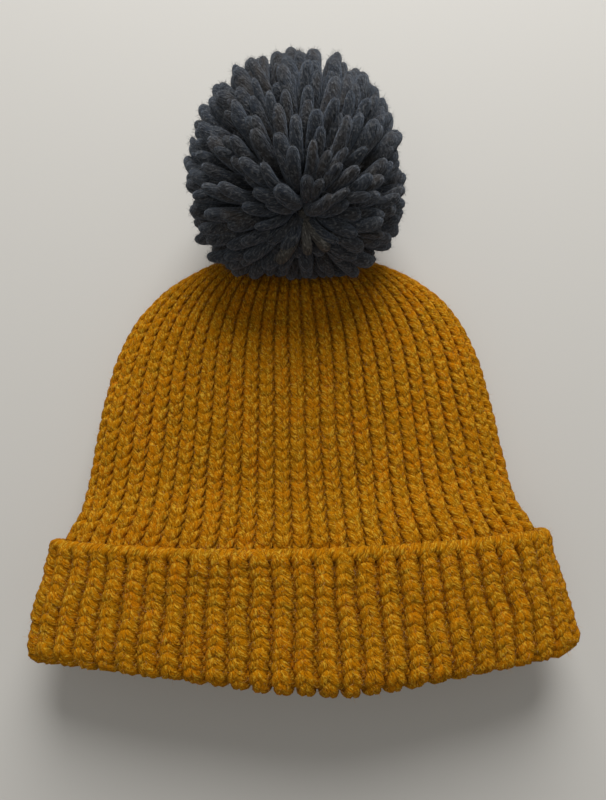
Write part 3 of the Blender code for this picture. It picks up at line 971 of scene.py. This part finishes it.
def make_camera():
    camera = bpy.data.objects.new("camera", bpy.data.cameras.new("camera"))
    bpy.context.scene.collection.objects.link(camera)
    camera.data.lens = FOCAL_LENGTH
    camera.data.clip_start = 0.01
    back = Vector((0.0, -math.cos(VIEW_ELEVATION), math.sin(VIEW_ELEVATION)))
    right = Vector((1.0, 0.0, 0.0))
    up = back.cross(right)
    rolled_right = right * math.cos(VIEW_ROLL) + up * math.sin(VIEW_ROLL)
    rolled_up = back.cross(rolled_right)
    turn = Matrix((rolled_right, rolled_up, back)).transposed().to_4x4()
    place = Vector((CAMERA_SIDE, MOUTH_Y + CAMERA_STATION, CAMERA_HEIGHT))
    camera.matrix_world = Matrix.Translation(place) @ turn
    bpy.context.scene.camera = camera


def make_light(name, place, size, power, colour):
    """A soft round light that points at the hat."""
    data = bpy.data.lights.new(name, "AREA")
    data.shape = "DISK"
    data.size = size
    data.energy = power
    data.color = colour
    light = bpy.data.objects.new(name, data)
    bpy.context.scene.collection.objects.link(light)
    light.location = place
    aim = LIT_POINT - Vector(place)
    light.rotation_mode = "QUATERNION"
    light.rotation_quaternion = aim.to_track_quat("-Z", "Y")


def make_stage():
    bpy.ops.mesh.primitive_plane_add(size=FLOOR_SIZE)
    floor = bpy.context.object
    floor.name = "floor"
    material = bpy.data.materials.new("floor_paper")
    material.use_nodes = True
    shader = material.node_tree.nodes["Principled BSDF"]
    shader.inputs["Base Color"].default_value = (0.55, 0.52, 0.47, 1.0)
    shader.inputs["Roughness"].default_value = 0.9
    floor.data.materials.append(material)


def make_studio():
    world = bpy.data.worlds.new("studio")
    bpy.context.scene.world = world
    world.use_nodes = True
    background = world.node_tree.nodes["Background"]
    background.inputs["Color"].default_value = (0.90, 0.95, 1.0, 1.0)
    background.inputs["Strength"].default_value = 0.27
    make_light("window", place=(0.10, 1.00, 0.80), size=0.9, power=20.0,
               colour=(0.95, 0.97, 1.0))
    make_light("ceiling", place=(-0.2, -0.3, 1.4), size=1.2, power=2.2, colour=(1.0, 0.93, 0.82))
    bpy.context.scene.view_settings.view_transform = "Standard"


# ---------------------------------------------------------------- build

def plain_yarn_nodes(mustard, charcoal):
    """The frame's own ties and seam, which hardly show, in the same wools."""
    wools = {node: charcoal for node in ("anchor_knot", "tether_inner_run", "tether_base_knot",
                                         "pompom_tether", "binding_knot", "pompom_binding")}
    wools["crown_seam_yarn"] = wools["gathering_yarn"] = mustard
    for node, material in wools.items():
        materials = frame["nodes"][node].data.materials
        materials.clear()
        materials.append(material)


def main():
    make_camera()
    make_studio()
    make_stage()
    mustard = wool("mustard_wool", **MUSTARD_LOOK)
    charcoal = wool("charcoal_wool", **CHARCOAL_LOOK)
    pale_charcoal = wool("pale_charcoal_wool", **PALE_CHARCOAL_LOOK)
    mustard_fibre = fibre_material("mustard_fibre", (0.56, 0.27, 0.012), (0.42, 0.16, 0.003))
    charcoal_fibre = fibre_material("charcoal_fibre", (0.062, 0.066, 0.074),
                                    (0.028, 0.028, 0.030))
    rng = np.random.default_rng(7)
    crown_hairs, cuff_hairs, pompom_hairs = Hairs(), Hairs(), Hairs()
    knit("crown", tube_fabric(), "crown", "crown_knit", mustard, rng, crown_hairs, CROWN_HAIRS)
    cuff = cuff_fabric()
    knit("cuff", cuff, "cuff", "cuff_knit", mustard, rng, cuff_hairs, CUFF_HAIRS)
    cast_on_edge(cuff, mustard, rng)
    make_pompom(rng, charcoal, pale_charcoal, pompom_hairs)
    all_hairs("crown_fuzz", crown_hairs, rng, LONGEST_KNIT_HAIR, mustard_fibre, "crown")
    all_hairs("cuff_fuzz", cuff_hairs, rng, LONGEST_KNIT_HAIR, mustard_fibre, "cuff")
    all_hairs("pompom_fuzz", pompom_hairs, rng, LONGEST_POMPOM_HAIR, charcoal_fibre, "pompom")
    plain_yarn_nodes(wool("mustard_seam_wool", **MUSTARD_LOOK, along_yarn=False),
                     wool("charcoal_tie_wool", **CHARCOAL_LOOK, along_yarn=False))


main()
